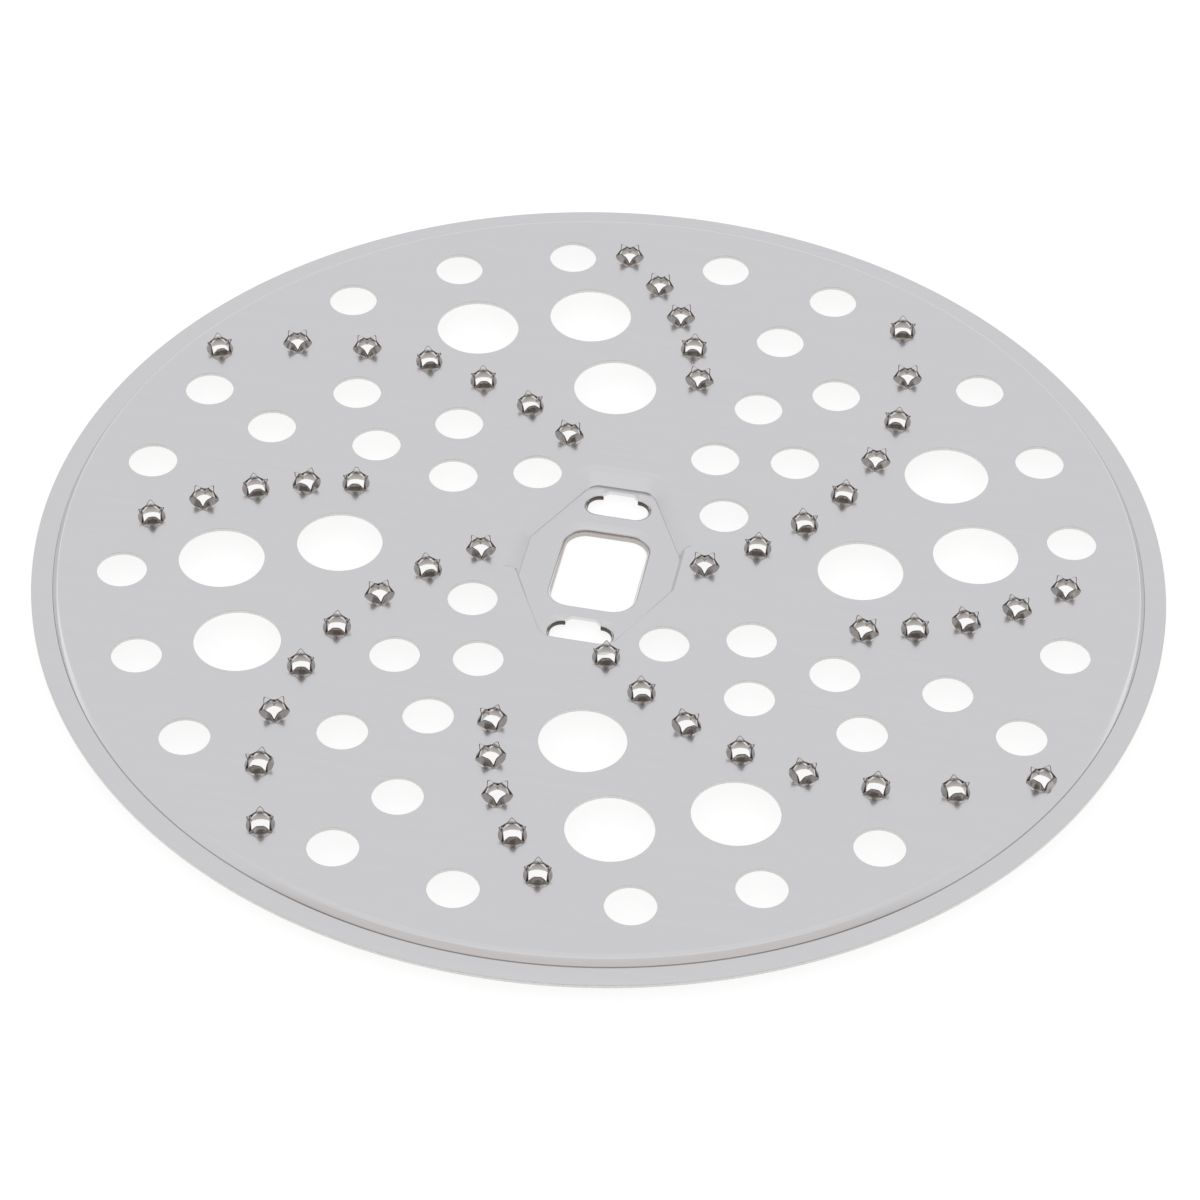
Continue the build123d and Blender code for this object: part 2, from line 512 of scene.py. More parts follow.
@dataclass
class RoundHoles:
    """The large and small round holes, repeated in each quarter of the plate.

    Args:
        levels: Levels of the sheet.
        radius: Outer radius of the disc.
        quarters: Times that the pattern repeats.
        large: Diameter of the large holes.
        large_places: Distance and angle of the large holes of a quarter.
        small: Diameter of the small holes.
        small_places: Distance and angle of the small holes of a quarter.
        ring_inset: From the disc's edge to the centres of its outermost small holes.
        ring_angles: Angles of those holes in a quarter.
        edge_roll: Radius of a hole's edges.
        flat: Flat plate around a hole's edges.
        chord: Length of a chord around a hole.
        roll_steps: Chords in a rolled edge.
    """

    levels: SheetLevels
    radius: float
    quarters: int = 4
    large: float = 11.2
    large_places: Sequence[Point] = ((34.1, 8.0), (49.3, 13.0), (49.3, 31.5))
    small: float = 6.5
    small_places: Sequence[Point] = (
        (18.4, 38.3),
        (24.9, 63.1),
        (32.3, 47.5),
        (36.9, 65.8),
        (46.1, 57.2),
        (50.7, 72.1),
    )
    ring_inset: float = 11.8
    ring_angles: Sequence[float] = (15.0, 30.0, 45.0, 70.0, 85.0)
    edge_roll: float = 0.07
    flat: float = 0.05
    chord: float = 0.45
    roll_steps: int = 2

    def circles(self) -> list[Triple]:
        """Place every hole.

        Returns:
            Diameter and centre of each.
        """
        ring = [(self.radius - self.ring_inset, angle) for angle in self.ring_angles]
        pattern = [(self.large, place) for place in self.large_places]
        pattern += [(self.small, place) for place in (*self.small_places, *ring)]
        circles = []
        for quarter in range(self.quarters):
            for diameter, (reach, angle) in pattern:
                turn = radians(360.0 / self.quarters * quarter + angle)
                circles.append((diameter, reach * cos(turn), reach * sin(turn)))
        return circles

    def add(self, sheet: SheetMesh) -> tuple[Rings, Rings]:
        """Grow the walls of the holes.

        Args:
            sheet: The sheet to grow them in.

        Returns:
            Their rings on the plate's upper and lower side.
        """
        margin = self.edge_roll + self.flat
        top, bottom = self.levels.plate_top, self.levels.plate_bottom
        corners = [(margin, top), (0.0, top), (0.0, bottom), (margin, bottom)]
        section = rounded_line(corners, [self.edge_roll, self.edge_roll], self.roll_steps)
        kinds = bands((Face.ROLLED, 1), (Face.CUT, len(section) - 3), (Face.ROLLED, 1))
        tubes = []
        for diameter, x, y in self.circles():
            outline = CircleOutline((x, y), diameter / 2, round(pi * diameter / self.chord))
            tubes.append(([outline.ring(grow, height) for grow, height in section], kinds))
        return sheet.sleeves(tubes)


@dataclass
class StarTooth:
    """One pierced tooth: a square hole whose four ears are folded up and bent outwards at their tips.

    The outer and inner lines are given by corners, each with its distance from the tooth's axis and its
    height above the plate.

    Args:
        ears: Ears around the hole.
        steps: Points along the edge of an ear.
        valley: Height of the torn edge between two ears.
        tip: Height of an ear.
        uneven: Share by which an ear may be lower.
        sharpness: Power that gives the ear's outline, from 1, straight, upwards.
        outer_corner: How square the outer side is at its edge, from 0 to 1.
        inner_corner: How square the bore is, from 0 to 1.
        squared_share: Share of the bore over which it turns square.
        outer: Corners of the outer line, rising.
        outer_bends: Radii of its inner corners.
        inner: Corners of the bore's line, falling.
        inner_bends: Radii of its inner corners.
        outer_rings: Rings on the outer side.
        inner_rings: Rings in the bore.
        base_rings: Bands at the foot of the ears that look like the pressed sheet.
        bright_rings: Bands below the torn edge that do so too.
        fineness: Chords in each bend of the two lines.
    """

    ears: int = 4
    steps: int = 12
    valley: float = 0.15
    tip: float = 1.45
    uneven: float = 0.06
    sharpness: float = 1.2
    outer_corner: float = 0.35
    inner_corner: float = 0.85
    squared_share: float = 0.5
    outer: Sequence[Point] = ((1.98, 0.0), (1.8, 0.0), (1.33, 1.0), (1.76, 1.45))
    outer_bends: Sequence[float] = (0.15, 0.2)
    inner: Sequence[Point] = ((1.62, 1.45), (1.15, 0.92), (1.13, -0.3), (1.5, -0.5))
    inner_bends: Sequence[float] = (0.7, 0.2)
    outer_rings: int = 10
    inner_rings: int = 9
    base_rings: int = 1
    bright_rings: int = 2
    fineness: int = 12

    def below(self, line: Sequence[Vector], height: float, count: int) -> Line:
        """The part of a line below a height, in equal steps along it.

        Args:
            line: Points of distance and height, rising.
            height: Where the line is cut off.
            count: Number of points to return.

        Returns:
            Points from the line's foot to the cut.
        """
        last = next((index for index, spot in enumerate(line) if spot.y >= height), len(line) - 1)
        share = (height - line[last - 1].y) / (line[last].y - line[last - 1].y)
        cut = [*line[:last], line[last - 1].lerp(line[last], share)]
        passed = list(accumulate(((after - spot).length for spot, after in zip(cut, cut[1:])), initial=0.0))
        points = []
        for index in range(count):
            place = passed[-1] * index / (count - 1)
            step = min(bisect_left(passed, place, 1), len(cut) - 1) - 1
            share = (place - passed[step]) / (passed[step + 1] - passed[step])
            points.append(cut[step].lerp(cut[step + 1], share))
        return points

    def outside(self, line: Line, square: float, room: float) -> list[Point]:
        """An ear's outer side, kept on the flat plate at its foot and squared towards its edge.

        Args:
            line: Points of distance and height, rising.
            square: Share by which a square reaches further out here than at the middle of its side.
            room: Flat plate around the tooth's axis.

        Returns:
            Points of distance and height, rising.
        """
        over = max(self.outer[0][0] - room, 0.0)
        points = []
        for place, (reach, level) in enumerate(line):
            drawn = place / (self.outer_rings - 1)
            corner = self.outer_corner * drawn
            points.append((reach * (1 + corner * square) - over * (1 - drawn), level))
        return points

    def inside(self, line: Line, square: float, room: float) -> list[Point]:
        """The bore below an ear's edge, kept on the flat plate at its foot.

        Args:
            line: Points of distance and height, rising.
            square: Share by which a square reaches further out here than at the middle of its side.
            room: Flat plate around the tooth's axis.

        Returns:
            Points of distance and height, falling.
        """
        points = []
        for place, (reach, level) in enumerate(line):
            drawn = place / (self.inner_rings - 1)
            over = max(self.inner[-1][0] - room, 0.0) if place == 0 else 0.0
            corner = self.inner_corner * min(drawn / self.squared_share, 1.0)
            points.append((reach * (1 + corner * square) - over, level))
        return points[::-1]

    def rings(self, draw: Random, room: Sequence[float]) -> Lines:
        """Rings of one tooth about its own axis, from the plate's upper side to its lower side.

        Args:
            draw: Source of the small differences between ears.
            room: Flat plate around the tooth's axis, for each point of a ring.

        Returns:
            The points of each ring.
        """
        outer = rounded_line(self.outer, self.outer_bends, self.fineness)
        inner = rounded_line(self.inner, self.inner_bends, self.fineness)[::-1]
        tips = [self.tip * (1 - self.uneven * draw.random()) for _ in range(self.ears)]
        half_side = tan(radians(180.0 / self.ears))
        columns = []
        for index, free in enumerate(room):
            ear, step = divmod(index, self.steps)
            aside = tan(radians(180.0 / self.ears * abs(2 * step / self.steps - 1))) / half_side
            height = self.valley + (tips[ear] - self.valley) * (1 - aside**self.sharpness)
            square = hypot(1.0, aside * half_side) - 1
            section = self.outside(self.below(outer, height, self.outer_rings), square, free)
            section += self.inside(self.below(inner, height, self.inner_rings), square, free)
            turn = radians(360.0 / len(room) * index)
            spots = [(reach * cos(turn), reach * sin(turn), level) for reach, level in section]
            columns.append([Vector(spot) for spot in spots])
        return across(columns)

    def kinds(self) -> list[Face]:
        """Kinds of the faces between the rings: bent ears and torn edges, both darkened as painted shade, and a
        pierced bore with painted shade towards its top.

        Returns:
            One kind for each band.
        """
        return bands(
            (Face.PRESSED, self.base_rings),
            (Face.EAR, self.outer_rings - 1 - self.base_rings),
            (Face.TORN, 1),
            (Face.PRESSED, self.bright_rings),
            (Face.BORE, self.inner_rings - 1 - self.bright_rings),
        )


@dataclass
class ToothRows:
    """The curved rows of teeth, one long and one short row in each quarter.

    Args:
        levels: Levels of the sheet.
        holes: The round holes, whose quarters the rows share.
        plate_radius: Radius of the flat plate.
        seed: Of the small differences between ears.
        long_turns: Turn of each tooth about its own axis, for the long row of each quarter.
        short_turns: The same for the short rows.
        tooth: The tooth that is repeated.
        long_arc: Distance and angle of the centre of a long row's arc, and the arc's radius.
        long_row: Distance of a long row's first tooth from the disc's axis, and the pitch outwards.
        long_count: Teeth in a long row.
        long_order: Quarter pitches by which each quarter's long row is moved outwards.
        short_arc: As long_arc, for the short rows.
        short_row: As long_row, for the short rows.
        short_count: Teeth in a short row.
        short_order: As long_order, for the short rows.
        pocket_room: Half sizes of the hub pocket with the room that its wall needs.
    """

    levels: SheetLevels
    holes: RoundHoles
    plate_radius: float
    seed: int = 7
    long_turns: Sequence[Sequence[float]] = (
        (10, 50, 65, 45, 5, 45, 10, 55),
        (55, 0, 70, 60, 65, 15, 15, 70),
        (15, 70, 20, 55, 60, 15, 45, 60),
        (55, 60, 80, 60, 80, 45, 65, 20),
    )
    short_turns: Sequence[Sequence[float]] = (
        (85, 60, 80, 85, 5),
        (0, 50, 10, 5, 10),
        (55, 35, 70, 10, 65),
        (30, 25, 10, 60, 55),
    )
    tooth: StarTooth = field(default_factory=StarTooth)
    long_arc: Triple = (41.2, 107.1, 46.3)
    long_row: Point = (13.8, 7.0)
    long_count: int = 8
    long_order: Sequence[int] = (0, 2, 1, 3)
    short_arc: Triple = (47.0, 54.4, 45.6)
    short_row: Point = (33.6, 6.05)
    short_count: int = 5
    short_order: Sequence[int] = (2, 3, 1, 0)
    pocket_room: Point = (12.8, 18.2)

    def row(self, arc: Triple, row: Point, count: int, order: Sequence[int]) -> list[Point]:
        """Centres of the teeth of one row in every quarter.

        Args:
            arc: Distance and angle of the arc's centre, and its radius.
            row: Distance of the first tooth from the axis, and the pitch outwards.
            count: Teeth in the row.
            order: Quarter pitches by which each quarter's row is moved outwards.

        Returns:
            The centres.
        """
        reach, bearing, radius = arc
        start, pitch = row
        quarters = self.holes.quarters
        places = []
        for quarter in range(quarters):
            for index in range(count):
                out = start + order[quarter] * pitch / quarters + index * pitch
                spread = degrees(acos((out**2 + reach**2 - radius**2) / (2 * out * reach)))
                angle = radians(360.0 / quarters * quarter + bearing - spread)
                places.append((out * cos(angle), out * sin(angle)))
        return places

    def places(self) -> list[Triple]:
        """Place every tooth that has room beside the hub pocket.

        Returns:
            The centre of each, and its turn in radians.
        """
        centres = self.row(self.long_arc, self.long_row, self.long_count, self.long_order)
        centres += self.row(self.short_arc, self.short_row, self.short_count, self.short_order)
        turns = [turn for row in (*self.long_turns, *self.short_turns) for turn in row]
        wide, long = self.pocket_room
        return [
            (x, y, radians(turn)) for (x, y), turn in zip(centres, turns) if abs(x) > wide or abs(y) > long
        ]

    def room(self, x: float, y: float, turn: float) -> list[float]:
        """Flat plate between one tooth's axis and the rim, for each point of its rings.

        Args:
            x: Place of the tooth.
            y: Place of the tooth.
            turn: Turn of the tooth in radians.

        Returns:
            The distances.
        """
        count = self.tooth.ears * self.tooth.steps
        free = []
        for index in range(count):
            bearing = turn + radians(360.0 / count * index)
            out = x * cos(bearing) + y * sin(bearing)
            free.append((out**2 + self.plate_radius**2 - x**2 - y**2) ** 0.5 - out)
        return free

    def add(self, sheet: SheetMesh) -> tuple[Rings, Rings]:
        """Grow the teeth.

        Args:
            sheet: The sheet to grow them in.

        Returns:
            Their rings on the plate's upper and lower side.
        """
        draw = Random(self.seed)
        tubes = []
        for x, y, turn in self.places():
            place = Matrix.Translation((x, y, self.levels.plate_top)) @ Matrix.Rotation(turn, 4, "Z")
            tooth = self.tooth.rings(draw, self.room(x, y, turn))
            tubes.append(([[place @ point for point in ring] for ring in tooth], self.tooth.kinds()))
        return sheet.sleeves(tubes)


@dataclass
class CatchSlot:
    """A slot in the pocket's floor with a turned-down wall and a plain notch in its +Y side.

    Args:
        middle: Its centre along Y.
        width: Its size along X.
        length: Its size along Y, without the notch.
        corner: Radius of its corners.
        notch_base: Width of the notch where it leaves the slot.
        notch_top: Width of the notch at its end.
        notch_depth: Depth of the notch.
        notch_corner: Radius of the notch's corners.
        steps: Chords in each corner of the slot.
    """

    middle: float
    width: float = 8.1
    length: float = 3.5
    corner: float = 1.6
    notch_base: float = 4.7
    notch_top: float = 3.2
    notch_depth: float = 0.75
    notch_corner: float = 0.4
    steps: int = 8

    def ring(self, grow: float, height: float, plain: float) -> Line:
        """Points of the slot's outline.

        Args:
            grow: How far the walled part is grown outwards.
            height: Level of the walled part.
            plain: Lowest level of the notch, which has no wall.

        Returns:
            The points in order.
        """
        wall = RoundedOutline(rectangle(self.width, self.length, self.middle), self.corner, self.steps)
        points = wall.ring(grow, height)
        base, top = self.notch_base / 2, self.notch_top / 2
        edge = self.middle + self.length / 2
        back = edge + self.notch_depth
        level = max(height, plain)
        line = rounded_line([(base, edge), (top, back), (-top, back), (-base, edge)], [self.notch_corner] * 2)
        notch = [Vector((base, edge + grow, height))]
        notch += [Vector((*spot, level)) for spot in line]
        notch += [Vector((-base, edge + grow, height))]
        right = 2 * (self.steps + 1)
        return points[:right] + notch + points[right:]


@dataclass
class HubPocket:
    """The pocket pressed into the plate, with the drive opening's collar and two catch slots.

    Args:
        levels: Levels of the sheet.
        teeth: The teeth that the pocket's wall stays clear of.
        length: Of the pocket's floor, along Y.
        width: Of the pocket's floor, along X.
        end_flat: Straight part of each end.
        side_flat: Straight part of each side.
        corner: Radius of the outline's corners.
        gentle_reach: Plate that the wall and its lip take up where the wall is gentle.
        steep_reach: The same where the wall is steep.
        gentle_bearing: Bearing of the gentlest wall.
        change: Span of directions over which the wall goes from steep to gentle.
        gentle_share: Share of its reach that the wall has below its lip where it is gentle.
        steep_share: The same where the wall is steep.
        crease: Height of the wall's steep foot.
        end_crease: The same at the +Y end.
        end_from: How far towards +Y a wall has to face for the foot to grow, from 0 to 1.
        foot: Radius at the foot.
        flat: Flat floor beside bends and openings.
        plate_flat: Flat plate beside the lip.
        drive_width: Of the drive opening, along X.
        drive_length: Of the drive opening, along Y.
        drive_corner: Radius of its corners.
        drive_edge: Radius of its rolled upper edge.
        edge_roll: Radius of the lower edges of collar and slot walls.
        slot_middle: From the axis to the middle of each catch slot.
        slot_wall: Height of the slots' walls.
        slot_edge: Radius of the slots' rolled upper edges.
        fine_steps: Chords in the wall's bends and the drive opening's corners.
        roll_steps: Chords in each bend of a turned-down edge.
        side_parts: Parts of each straight side of the outline.
    """

    levels: SheetLevels
    teeth: ToothRows
    length: float = 31.0
    width: float = 20.1
    end_flat: float = 8.4
    side_flat: float = 7.6
    corner: float = 2.0
    gentle_reach: float = 2.5
    steep_reach: float = 1.1
    gentle_bearing: float = 110.0
    change: float = 0.2
    gentle_share: float = 0.72
    steep_share: float = 0.4
    crease: float = 0.14
    end_crease: float = 0.3
    end_from: float = 0.75
    foot: float = 0.05
    flat: float = 0.08
    plate_flat: float = 0.02
    drive_width: float = 10.9
    drive_length: float = 14.5
    drive_corner: float = 2.7
    drive_edge: float = 1.3
    edge_roll: float = 0.08
    slot_middle: float = 12.4
    slot_wall: float = 1.1
    slot_edge: float = 1.0
    fine_steps: int = 7
    roll_steps: int = 6
    side_parts: int = 16

    def outline(self) -> RoundedOutline:
        """Lay out the pocket's eight sides.

        Returns:
            The outline at its floor.
        """
        x, y = self.width / 2, self.length / 2
        end, side = self.end_flat / 2, self.side_flat / 2
        half = [(x, -side), (x, side), (end, y), (-end, y)]
        corners = [*half, *((-right, -ahead) for right, ahead in half)]
        return RoundedOutline(corners, self.corner, parts=self.side_parts)

    def room(self, spot: Vector, out: Vector) -> float:
        """Plate that the wall and its lip take up outside one point of the outline.

        The wall is gentle towards one bearing and steep on the other side, and it stays clear of the teeth.

        Args:
            spot: The point.
            out: Direction outwards.

        Returns:
            The distance.
        """
        gentle = radians(self.gentle_bearing)
        facing = out.x * cos(gentle) + out.y * sin(gentle)
        free = [eased(self.steep_reach, self.gentle_reach, facing / self.change + 0.5)]
        for x, y, _ in self.teeth.places():
            gap = Vector((x, y, 0.0)) - spot
            ahead = gap.dot(out)
            inside = self.teeth.tooth.outer[0][0] ** 2 - (gap.length_squared - ahead**2)
            if inside > 0 and ahead > 0:
                free.append(ahead - inside**0.5 - self.flat)
        return min(free)

    def sections(self, room: float, crease: float) -> tuple[Line, Line]:
        """Sections of the wall's upper and lower side, from the plate to the floor.

        Args:
            room: Plate that the wall and its lip take up.
            crease: Height of the steep foot.

        Returns:
            Points of growth and height on each side.
        """
        levels = self.levels
        gentle = max((room - self.steep_reach) / (self.gentle_reach - self.steep_reach), 0.0)
        spread = room * (self.steep_share + (self.gentle_share - self.steep_share) * gentle)
        slope = atan2(levels.plate_top - levels.floor_top - crease, spread)
        lip = (room - spread) / tan(slope / 2)
        under = max(lip - levels.thickness, self.foot)
        aside = levels.thickness * tan(slope / 2)
        inner = -crease / 2 - self.flat
        upper = [
            (room + self.plate_flat, levels.plate_top),
            (spread, levels.plate_top),
            (0.0, levels.floor_top + crease),
            (-crease / 2, levels.floor_top),
            (inner, levels.floor_top),
        ]
        lower = [
            (spread + aside + under * tan(slope / 2) + self.plate_flat, levels.plate_bottom),
            (spread + aside, levels.plate_bottom),
            (aside, levels.floor_bottom),
            (inner, levels.floor_bottom),
        ]
        return (
            rounded_line(upper, [lip, self.foot, self.foot / 2], self.fine_steps),
            rounded_line(lower, [under, self.foot + levels.thickness / 2], self.fine_steps),
        )

    def walls(self, sheet: SheetMesh) -> tuple[Rings, Rings]:
        """Grow both sides of the pocket's wall.

        Args:
            sheet: The sheet to grow them in.

        Returns:
            The two rings at the plate and the two at the floor, upper side first.
        """
        outline = self.outline()
        sides: tuple[Lines, Lines] = ([], [])
        for spot, grown in zip(outline.ring(0.0, 0.0), outline.ring(1.0, 0.0)):
            out = grown - spot
            share = min(max((out.y - self.end_from) / (1 - self.end_from), 0.0), 1.0)
            crease = self.crease + (self.end_crease - self.crease) * share
            for side, section in zip(sides, self.sections(self.room(spot, out), crease)):
                side.append([spot + out * grow + Vector((0.0, 0.0, height)) for grow, height in section])
        return sheet.sleeves((across(side), bands((Face.ROLLED, len(side[0]) - 1))) for side in sides)

    def collar_section(self, bottom: float, roll: float) -> Line:
        """Section of a turned-down edge, from the floor's upper side round to its lower side.

        Args:
            bottom: Level of its lower edge.
            roll: Radius of its rolled upper edge.

        Returns:
            Points of growth and height.
        """
        levels = self.levels
        thick = levels.thickness
        corners = [
            (roll + self.flat, levels.floor_top),
            (0.0, levels.floor_top),
            (0.0, bottom),
            (thick, bottom),
            (thick, levels.floor_bottom),
            (thick + self.foot + self.flat, levels.floor_bottom),
        ]
        return rounded_line(corners, [roll, self.edge_roll, self.edge_roll, self.foot], self.roll_steps)

    def collar_kinds(self, edge: Face, wall: Face) -> list[Face]:
        """Kinds of the faces along a turned-down edge.

        Args:
            edge: Kind of the last chord but one of the rolled upper edge.
            wall: Kind of its last chord, of the wall and of the lower edge.

        Returns:
            One kind for each band.
        """
        roll = self.roll_steps
        upper_edge, inner_wall, outer_wall = roll - 1, 2 * roll + 3, roll + 2
        return bands((Face.PRESSED, upper_edge), (edge, 1), (wall, inner_wall), (Face.PRESSED, outer_wall))

    def openings(self, sheet: SheetMesh) -> tuple[Rings, Rings]:
        """Grow the drive opening and the catch slots.

        Args:
            sheet: The sheet to grow them in.

        Returns:
            Their rings on the upper and on the lower side of the floor.
        """
        levels = self.levels
        corners = rectangle(self.drive_width, self.drive_length)
        drive = RoundedOutline(corners, self.drive_corner, self.fine_steps)
        section = self.collar_section(0.0, self.drive_edge)
        # The drive opening's rolled edge takes a painted shade line, and its wall a darker painted shade.
        kinds = self.collar_kinds(Face.CREASE, Face.DRAWN)
        tubes = [([drive.ring(grow, height) for grow, height in section], kinds)]
        section = self.collar_section(levels.floor_top - self.slot_wall, self.slot_edge)
        # The slots' rolled edges and walls take the near-black painted shade.
        kinds = self.collar_kinds(Face.TORN, Face.TORN)
        for middle in (self.slot_middle, -self.slot_middle):
            slot = CatchSlot(middle)
            tubes.append(([slot.ring(grow, height, levels.floor_bottom) for grow, height in section], kinds))
        return sheet.sleeves(tubes)

    def add(self, sheet: SheetMesh) -> tuple[Rings, Rings]:
        """Grow the pocket with its floor and openings.

        Args:
            sheet: The sheet to grow it in.

        Returns:
            Its rings on the plate's upper and lower side.
        """
        (upper, lower), (floor_upper, floor_lower) = self.walls(sheet)
        opened_upper, opened_lower = self.openings(sheet)
        sheet.fill([floor_upper, *opened_upper])
        sheet.fill([floor_lower, *opened_lower])
        return [upper], [lower]


class Change(Enum):
    """Ways in which a value changes over a span, by Blender's names for them."""

    EVEN = "LINEAR"
    SMOOTH = "SMOOTHSTEP"


def fade(
    tree: bpy.types.NodeTree, value: bpy.types.NodeSocket, span: Span, change: Change
) -> bpy.types.NodeSocket:
    """A socket that changes from 0 to 1 as a value passes a span.

    Args:
        tree: Tree to add the node to.
        value: The value.
        span: Values at which the change starts and ends.
        change: Way of the change.

    Returns:
        The socket.
    """
    step = tree.nodes.new("ShaderNodeMapRange")
    step.interpolation_type = change.value
    step.inputs["From Min"].default_value, step.inputs["From Max"].default_value = span
    tree.links.new(value, step.inputs["Value"])
    return step.outputs["Result"]


def blend(
    tree: bpy.types.NodeTree,
    share: bpy.types.NodeSocket,
    first: bpy.types.NodeSocket | Color,
    second: bpy.types.NodeSocket | Color,
) -> bpy.types.NodeSocket:
    """A socket that mixes two colours.

    Args:
        tree: Tree to add the node to.
        share: Share of the second colour.
        first: A colour, or a socket that gives one.
        second: A colour, or a socket that gives one.

    Returns:
        The socket.
    """
    mix = tree.nodes.new("ShaderNodeMix")
    mix.data_type = "RGBA"
    tree.links.new(share, mix.inputs["Factor"])
    for name, color in (("A", first), ("B", second)):
        if isinstance(color, tuple):
            mix.inputs[name].default_value = color
        else:
            tree.links.new(color, mix.inputs[name])
    return mix.outputs["Result"]


def shown_rays(tree: bpy.types.NodeTree) -> bpy.types.NodeSocket:
    """A socket that is 1 for camera, glossy and transmission rays.

    Args:
        tree: Tree to add the nodes to.

    Returns:
        The socket.
    """
    path = tree.nodes.new("ShaderNodeLightPath")
    shown = path.outputs["Is Camera Ray"]
    for name in ("Is Glossy Ray", "Is Transmission Ray"):
        either = tree.nodes.new("ShaderNodeMath")
        either.operation = "MAXIMUM"
        tree.links.new(shown, either.inputs[0])
        tree.links.new(path.outputs[name], either.inputs[1])
        shown = either.outputs["Value"]
    return shown


class MetalNodes:
    """Node material of a bare metal whose tone and gloss vary along a stretched noise."""

    NOISE_DETAIL = 3.0

    def __init__(self, name: str, grain: Triple) -> None:
        """Start a metal.

        Args:
            name: Name of the material.
            grain: Frequency of the noise along each axis, per metre.
        """
        self.material = bpy.data.materials.new(name)
        self.material.use_nodes = True
        self.tree = self.material.node_tree
        self.shader = self.tree.nodes["Principled BSDF"]
        self.shader.inputs["Metallic"].default_value = 1.0
        self.place = self.tree.nodes.new("ShaderNodeTexCoord")
        stretch = self.tree.nodes.new("ShaderNodeMapping")
        stretch.inputs["Scale"].default_value = grain
        self.tree.links.new(self.place.outputs["Object"], stretch.inputs["Vector"])
        self.noise = self.tree.nodes.new("ShaderNodeTexNoise")
        self.noise.inputs["Scale"].default_value = 1.0
        self.noise.inputs["Detail"].default_value = self.NOISE_DETAIL
        self.tree.links.new(stretch.outputs["Vector"], self.noise.inputs["Vector"])

    def tone(self, color: Triple, spread: float) -> None:
        """Vary the colour along the noise.

        Args:
            color: The middle colour.
            spread: Share by which it gets darker and lighter.
        """
        darker = (*(part * (1 - spread) for part in color), 1.0)
        lighter = (*(part * (1 + spread) for part in color), 1.0)
        mixed = blend(self.tree, self.noise.outputs["Fac"], darker, lighter)
        self.tree.links.new(mixed, self.shader.inputs["Base Color"])

    def rise(self, low: Triple, high: Triple, span: Span) -> None:
        """Change the colour with the height.

        Args:
            low: Colour at the lower end.
            high: Colour at the upper end.
            span: Heights of the two ends in metres.
        """
        axes = self.tree.nodes.new("ShaderNodeSeparateXYZ")
        self.tree.links.new(self.place.outputs["Object"], axes.inputs["Vector"])
        share = fade(self.tree, axes.outputs["Z"], span, Change.EVEN)
        mixed = blend(self.tree, share, (*low, 1.0), (*high, 1.0))
        self.tree.links.new(mixed, self.shader.inputs["Base Color"])

    def gloss(self, roughness: float, spread: float) -> None:
        """Vary the roughness along the noise.

        Args:
            roughness: The middle roughness.
            spread: How far it goes down and up.
        """
        scale = self.tree.nodes.new("ShaderNodeMapRange")
        scale.inputs["To Min"].default_value = roughness - spread
        scale.inputs["To Max"].default_value = roughness + spread
        self.tree.links.new(self.noise.outputs["Fac"], scale.inputs["Value"])
        self.tree.links.new(scale.outputs["Result"], self.shader.inputs["Roughness"])


@dataclass(frozen=True)
class RolledSteel:
    """Bright rolled stainless sheet with a faint grain along X; its darker copy for the ears is painted shade.

    Args:
        name: Name of the material.
        color: Its middle colour.
        color_spread: Share by which the colour gets darker and lighter.
        roughness: Its middle roughness.
        roughness_spread: How far the roughness goes down and up.
        grain: Frequency of the noise along each axis, per metre.
    """

    name: str = "rolled_stainless"
    color: Triple = (0.72, 0.714, 0.72)
    color_spread: float = 0.022
    roughness: float = 0.24
    roughness_spread: float = 0.03
    grain: Triple = (60.0, 1800.0, 1800.0)

    def material(self) -> bpy.types.Material:
        """Make the finish.

        Returns:
            The node material.
        """
        metal = MetalNodes(self.name, self.grain)
        metal.tone(self.color, self.color_spread)
        metal.gloss(self.roughness, self.roughness_spread)
        return metal.material


@dataclass(frozen=True)
class CutEdge(RolledSteel):
    """A bare edge left by the tool, duller than the rolled faces, with fine marks along Z; its darker copies in
    FINISHES are painted shade.
    """

    name: str = "sheared_edge"
    color: Triple = (0.67, 0.655, 0.64)
    color_spread: float = 0.12
    roughness: float = 0.3
    roughness_spread: float = 0.08
    grain: Triple = (2500.0, 2500.0, 300.0)


@dataclass(frozen=True)
class PiercedBore:
    """The bore of a tooth, with painted shade: its colour darkens from its lower end up to the torn edge.

    Args:
        name: Name of the material.
        color: Colour at the lower end.
        shaded_top: Colour at the upper end, darkened as painted shade.
        span: Heights of the two ends in metres.
        roughness: Its middle roughness.
        roughness_spread: How far the roughness goes down and up.
        grain: Frequency of the noise along each axis, per metre.
    """

    name: str = "pierced_bore"
    color: Triple = (0.56, 0.53, 0.505)
    shaded_top: Triple = (0.28, 0.255, 0.235)
    span: Span = (0.0033, 0.0045)
    roughness: float = 0.3
    roughness_spread: float = 0.06
    grain: Triple = (2500.0, 2500.0, 300.0)

    def material(self) -> bpy.types.Material:
        """Make the finish.

        Returns:
            The node material.
        """
        metal = MetalNodes(self.name, self.grain)
        # Painted shade: the colour darkens with height.
        metal.rise(self.color, self.shaded_top, self.span)
        metal.gloss(self.roughness, self.roughness_spread)
        return metal.material


